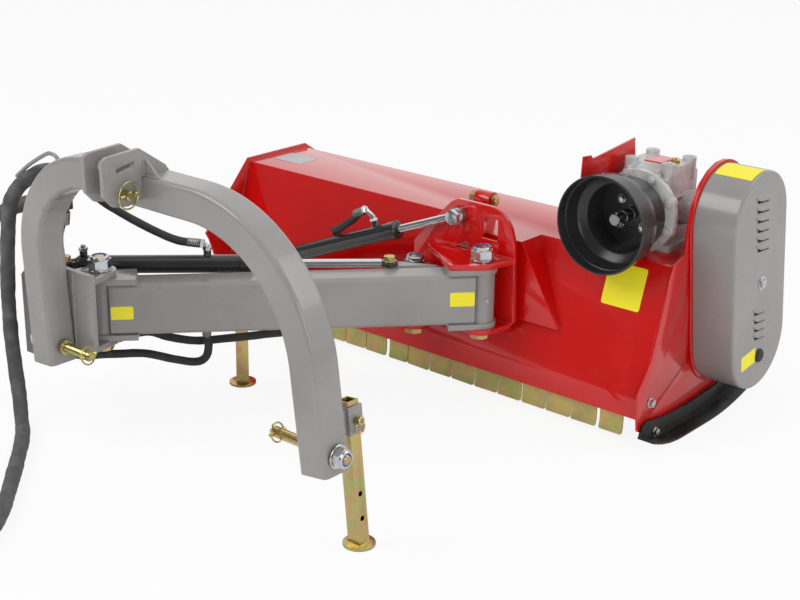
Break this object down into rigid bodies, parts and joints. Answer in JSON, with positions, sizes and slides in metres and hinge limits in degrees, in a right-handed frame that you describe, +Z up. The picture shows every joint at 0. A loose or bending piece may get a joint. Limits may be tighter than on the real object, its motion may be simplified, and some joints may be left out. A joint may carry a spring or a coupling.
{
  "type": "side verge mulcher",
  "caption": "Tractor-mounted verge flail mower: arch headstock, two swinging arms, tilt bracket and a hooded flail head with skids, roller and belt drive.",
  "frame": {"origin": "on the ground, at the middle of the machine's footprint with the hoses left out", "axes": "+Z up, +X across the machine towards the belt guard, +Y rearwards, away from the tractor"},
  "size_m": [1.4945, 2.0059, 0.741],
  "materials": {
    "bare_steel": "machined steel",
    "black_paint": "satin black paint",
    "black_rubber": "dull black rubber and sleeve",
    "brass": "brass",
    "bright_zinc": "bright zinc plate",
    "chrome": "hard chrome",
    "grey_casting": "painted casting",
    "grey_paint": "semi-gloss warm grey paint",
    "red_gloss_paint": "glossy red paint",
    "yellow_zinc": "yellow passivated zinc plate"
  },
  "bodies": {
    "headstock": {"arch_tube": "grey_paint", "arm_hose": "black_rubber", "front_arm_bolt": "bright_zinc", "headstock_hose": "black_rubber", "hose_bundle_long": "black_rubber", "hose_bundle_short": "black_rubber", "hose_clamp": "black_paint", "hose_holder": "grey_paint", "lower_hitch_pin_left": "yellow_zinc", "lower_hitch_pin_right": "yellow_zinc", "near_stand_leg": "yellow_zinc", "near_stand_sleeve": "grey_paint", "pivot_bracket": "grey_paint", "rear_arm_bolt": "bright_zinc", "swing_base_bolt": "yellow_zinc", "swing_cylinder_hose": "black_rubber", "top_link_pin": "yellow_zinc", "top_link_plate_left": "grey_paint", "top_link_plate_right": "grey_paint"},
    "deck": {"belt_guard": "grey_paint", "breather_plug": "brass", "drive_belt": "black_rubber", "gearbox_housing": "grey_casting", "gearbox_side_plate": "red_gloss_paint", "guard_back_plate": "red_gloss_paint", "guard_plug": "black_rubber", "hood": "red_gloss_paint", "left_rotor_bearing": "grey_casting", "left_side_plate": "red_gloss_paint", "left_skid": "black_paint", "right_rotor_bearing": "grey_casting", "right_side_plate": "red_gloss_paint", "right_skid": "black_paint", "shaft_shield": "black_rubber", "stay_pin": "yellow_zinc", "tilt_base_bolt": "yellow_zinc"},
    "rear_arm_body": {"far_stand_leg": "yellow_zinc", "rear_arm": "grey_paint"},
    "far_stand_pin_body": {"far_stand_pin": "yellow_zinc"},
    "rotor": {"flail_rotor": "bare_steel", "lower_pulley": "grey_casting"},
    "front_arm_body": {"front_arm": "grey_paint"},
    "bracket": {"front_arm_outer_bolt": "bright_zinc", "rear_arm_outer_bolt": "bright_zinc", "tilt_bracket": "red_gloss_paint", "tilt_shaft": "bare_steel"},
    "input": {"input_shaft": "bare_steel"},
    "left_flaps": {"left_front_flaps": "yellow_zinc"},
    "near_stand_pin_body": {"near_stand_pin": "yellow_zinc"},
    "output": {"output_shaft": "bare_steel", "upper_pulley": "grey_casting"},
    "roller": {"rear_roller": "black_paint"},
    "right_flaps": {"right_front_flaps": "yellow_zinc"},
    "offset_barrel": {"swing_cylinder_barrel": "black_paint"},
    "offset_rod": {"swing_cylinder_rod": "chrome", "swing_rod_bolt": "yellow_zinc"},
    "tilt_barrel": {"tilt_cylinder_barrel": "black_paint", "tilt_cylinder_hose": "black_rubber"},
    "tilt_rod": {"tilt_cylinder_rod": "chrome", "tilt_rod_nut": "bright_zinc"}
  },
  "joints": [
    {"name": "arm_swing", "type": "hinge", "parent": "headstock", "child": "front_arm_body", "pos_m": [-0.36585, -0.467, 0], "axis": [0, 0, 1], "range_deg": [0, 60]},
    {"name": "rear_arm_swing", "type": "hinge", "parent": "headstock", "child": "rear_arm_body", "pos_m": [-0.56385, -0.467, 0], "axis": [0, 0, 1], "range_deg": [0, 60]},
    {"name": "bracket_swing", "type": "hinge", "parent": "front_arm_body", "child": "bracket", "pos_m": [0.21917, 0.16921, 0], "axis": [0, 0, 1], "range_deg": [-60, 0]},
    {"name": "offset_barrel_swing", "type": "hinge", "parent": "headstock", "child": "offset_barrel", "pos_m": [-0.49285, -0.466, 0.35], "axis": [0, 0, 1], "range_deg": [0, 56]},
    {"name": "offset_rod_slide", "type": "slide", "parent": "offset_barrel", "child": "offset_rod", "axis": [0.725, 0.6887, 0], "range_m": [-0.118, 0]},
    {"name": "deck_tilt", "type": "hinge", "parent": "bracket", "child": "deck", "pos_m": [0.12915, 0.228, 0.36], "axis": [0, 1, 0], "range_deg": [-25, 55]},
    {"name": "tilt_barrel_swing", "type": "hinge", "parent": "deck", "child": "tilt_barrel", "pos_m": [-0.50085, 0.2076, 0.195], "axis": [0, 1, 0], "range_deg": [-1, 1]},
    {"name": "tilt_rod_slide", "type": "slide", "parent": "tilt_barrel", "child": "tilt_rod", "axis": [0.9275, 0, 0.3737], "range_m": [-0.078, 0.036]},
    {"name": "rotor_spin", "type": "hinge", "parent": "deck", "child": "rotor", "pos_m": [0.03915, 0.543, 0.2], "axis": [1, 0, 0], "continuous": true},
    {"name": "output_shaft_spin", "type": "hinge", "parent": "deck", "child": "output", "pos_m": [0.48715, 0.498, 0.49], "axis": [1, 0, 0], "continuous": true},
    {"name": "input_shaft_spin", "type": "hinge", "parent": "deck", "child": "input", "pos_m": [0.48715, 0.498, 0.49], "axis": [0, 1, 0], "continuous": true},
    {"name": "roller_spin", "type": "hinge", "parent": "deck", "child": "roller", "pos_m": [0.03915, 0.683, 0.072], "axis": [1, 0, 0], "continuous": true},
    {"name": "left_flap_swing", "type": "hinge", "parent": "deck", "child": "left_flaps", "pos_m": [0.03915, 0.2415, 0.092], "axis": [1, 0, 0], "range_deg": [-5, 60]},
    {"name": "right_flap_swing", "type": "hinge", "parent": "deck", "child": "right_flaps", "pos_m": [0.03915, 0.2415, 0.092], "axis": [1, 0, 0], "range_deg": [-5, 60]},
    {"name": "near_stand_pin_pull", "type": "slide", "parent": "headstock", "child": "near_stand_pin_body", "axis": [0.994, 0, 0.1097], "range_m": [0, 0.06]},
    {"name": "far_stand_pin_pull", "type": "slide", "parent": "rear_arm_body", "child": "far_stand_pin_body", "axis": [0.6769, 0.7361, 0], "range_m": [0, 0.06]}
  ],
  "couplings": [
    {"joint": "rear_arm_swing", "follows": "arm_swing", "ratio": 1},
    {"joint": "bracket_swing", "follows": "arm_swing", "ratio": -1},
    {"joint": "offset_barrel_swing", "follows": "arm_swing", "ratio": 0.9327},
    {"joint": "offset_rod_slide", "follows": "arm_swing", "m_per_rad": -0.112},
    {"joint": "tilt_barrel_swing", "follows": "deck_tilt", "ratio": 0.0058},
    {"joint": "tilt_rod_slide", "follows": "deck_tilt", "m_per_rad": -0.0803},
    {"joint": "output_shaft_spin", "follows": "rotor_spin", "ratio": 0.72727},
    {"joint": "input_shaft_spin", "follows": "rotor_spin", "ratio": 0.24242}
  ]
}
